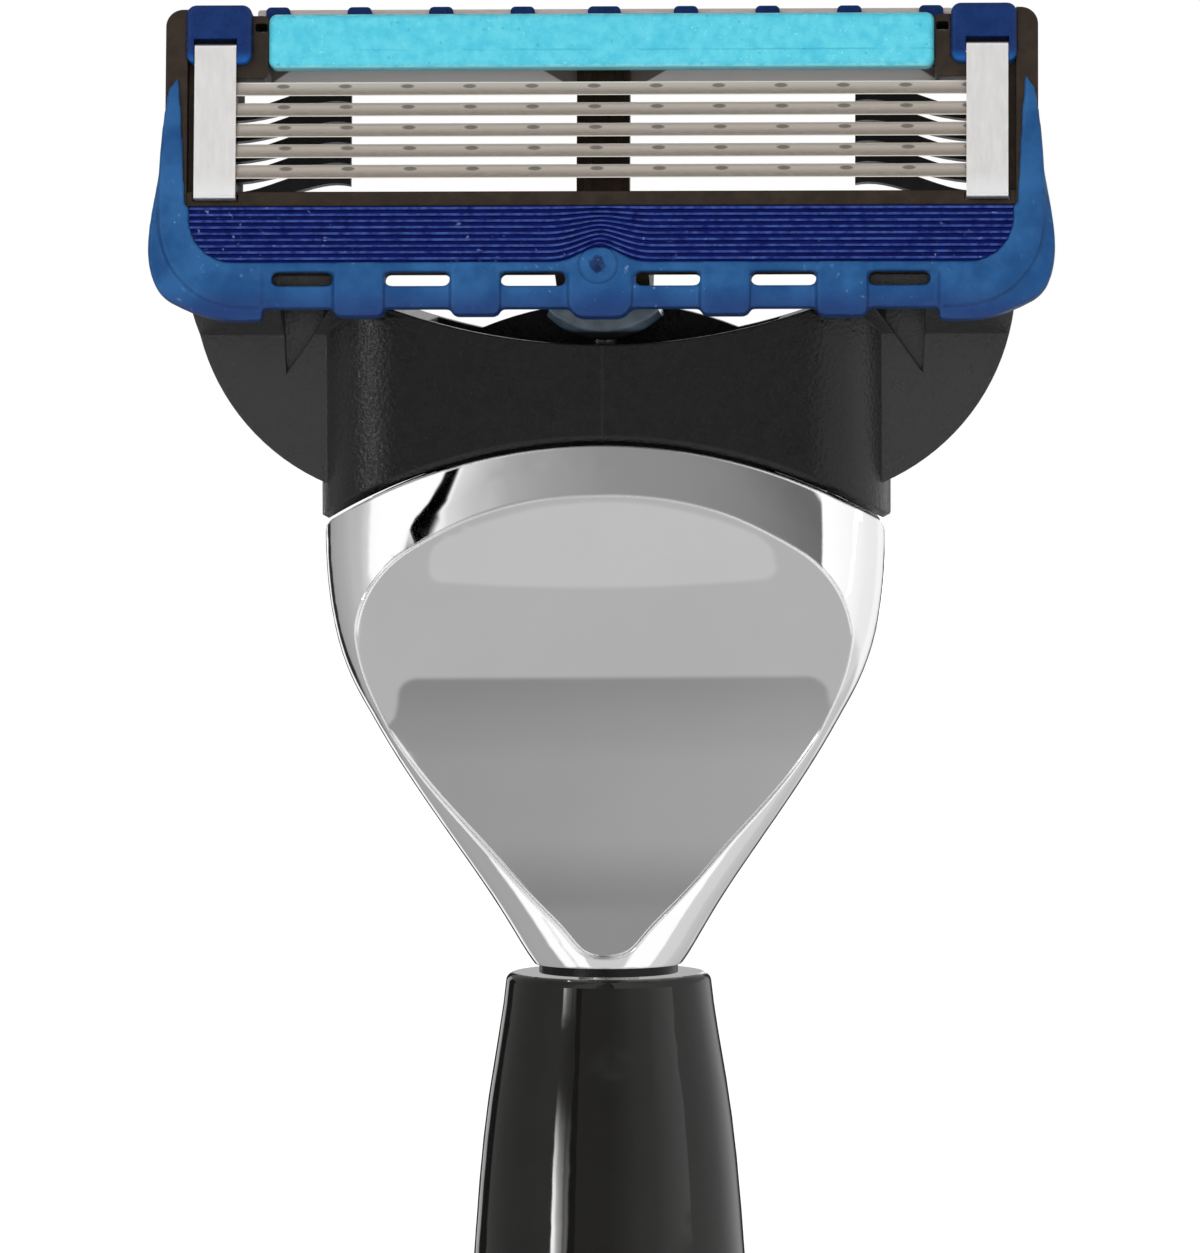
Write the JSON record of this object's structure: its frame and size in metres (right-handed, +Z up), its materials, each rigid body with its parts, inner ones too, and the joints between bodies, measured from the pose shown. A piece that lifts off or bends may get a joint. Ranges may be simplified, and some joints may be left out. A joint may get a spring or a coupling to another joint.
{
  "type": "cartridge razor",
  "caption": "Wet-shaving razor with a round black handle, a mirror-plated neck with a thumb dish, a clip-on yoke and a pivoting multi-blade cartridge with sprung blades and a rear trimmer",
  "frame": {"origin": "centre of the flat end of the handle's end cap, on which the razor can be stood", "axes": "+Z runs up the handle to the head, +X runs across the head, and the blades face -Y"},
  "size_m": [0.0444, 0.0168, 0.143],
  "materials": {
    "handle_resin": "polished black resin",
    "end_metal": "bright plated metal",
    "rod_steel": "zinc plated steel rod",
    "washer_rubber": "matt black rubber",
    "neck_chrome": "mirror plated die casting",
    "dock_plastic": "black moulded nylon",
    "screw_steel": "plated steel screw",
    "spring_steel": "drawn spring wire",
    "plunger_plastic": "grey-blue acetal, slightly glossy",
    "button_plastic": "black plastic, ridged",
    "yoke_plastic": "satin black plastic with a fine grain",
    "housing_plastic": "dark brown-black moulded plastic",
    "guard_rubber": "medium blue soft elastomer",
    "fin_rubber": "deep blue soft elastomer",
    "strip_polymer": "pale aqua water-soluble polymer, speckled",
    "clip_aluminium": "satin rolled aluminium",
    "carrier_plastic": "dark blue moulded plastic",
    "trimmer_steel": "ground stainless sheet",
    "finger_plastic": "black moulded plastic",
    "blade_steel": "coated stainless blade strip with a bright edge",
    "support_steel": "bent stainless support"
  },
  "bodies": {
    "handle": {"grip": "handle_resin", "end_cap": "end_metal", "tie_rod": "rod_steel", "neck_washer": "washer_rubber", "neck_shell": "neck_chrome", "dock": "dock_plastic", "dock_screw": "screw_steel", "release_spring": "spring_steel", "plunger_spring": "spring_steel"},
    "plunger": {"plunger": "plunger_plastic"},
    "release_button": {"release_button": "button_plastic", "release_slide": "dock_plastic"},
    "interconnect": {"interconnect": "yoke_plastic"},
    "cartridge": {"cartridge_housing": "housing_plastic", "guard_frame": "guard_rubber", "guard_fins": "fin_rubber", "cap_strip": "strip_polymer", "clip_left": "clip_aluminium", "clip_right": "clip_aluminium", "trimmer_carrier": "carrier_plastic", "trimmer_blade": "trimmer_steel", "blade_springs": "finger_plastic"},
    "blade_1": {"blade_1": "blade_steel", "blade_support_1": "support_steel"},
    "blade_2": {"blade_2": "blade_steel", "blade_support_2": "support_steel"},
    "blade_3": {"blade_3": "blade_steel", "blade_support_3": "support_steel"},
    "blade_4": {"blade_4": "blade_steel", "blade_support_4": "support_steel"},
    "blade_5": {"blade_5": "blade_steel", "blade_support_5": "support_steel"}
  },
  "joints": [
    {"name": "cartridge_release", "type": "slide", "parent": "handle", "child": "interconnect", "axis": [0, 0, 1], "range_m": [0, 0.016]},
    {"name": "cartridge_pivot", "type": "hinge", "parent": "interconnect", "child": "cartridge", "pos_m": [0, -0.0044, 0.13025], "axis": [-1, 0, 0], "range_deg": [0, 45], "stiffness_Nm_per_rad": 0.004, "springref_deg": -20.05},
    {"name": "plunger_slide", "type": "slide", "parent": "handle", "child": "plunger", "axis": [0, 0, -1], "range_m": [0, 0.0027], "deforming": ["plunger_spring"]},
    {"name": "release_button_slide", "type": "slide", "parent": "handle", "child": "release_button", "axis": [0, 0, 1], "range_m": [0, 0.003], "stiffness_N_per_m": 300, "springref_m": -0.0012, "deforming": ["release_spring"]},
    {"name": "blade_1_float", "type": "slide", "parent": "cartridge", "child": "blade_1", "axis": [0, 0.9848, -0.1736], "range_m": [0, 0.0003], "stiffness_N_per_m": 300, "springref_m": -0.0001, "deforming": ["blade_springs"]},
    {"name": "blade_2_float", "type": "slide", "parent": "cartridge", "child": "blade_2", "axis": [0, 0.9848, -0.1736], "range_m": [0, 0.0003], "stiffness_N_per_m": 300, "springref_m": -0.0001, "deforming": ["blade_springs"]},
    {"name": "blade_3_float", "type": "slide", "parent": "cartridge", "child": "blade_3", "axis": [0, 0.9848, -0.1736], "range_m": [0, 0.0003], "stiffness_N_per_m": 300, "springref_m": -0.0001, "deforming": ["blade_springs"]},
    {"name": "blade_4_float", "type": "slide", "parent": "cartridge", "child": "blade_4", "axis": [0, 0.9848, -0.1736], "range_m": [0, 0.0003], "stiffness_N_per_m": 300, "springref_m": -0.0001, "deforming": ["blade_springs"]},
    {"name": "blade_5_float", "type": "slide", "parent": "cartridge", "child": "blade_5", "axis": [0, 0.9848, -0.1736], "range_m": [0, 0.0003], "stiffness_N_per_m": 300, "springref_m": -0.0001, "deforming": ["blade_springs"]}
  ],
  "couplings": [
    {"joint": "plunger_slide", "follows": "cartridge_pivot", "m_per_rad": 0.0034}
  ]
}
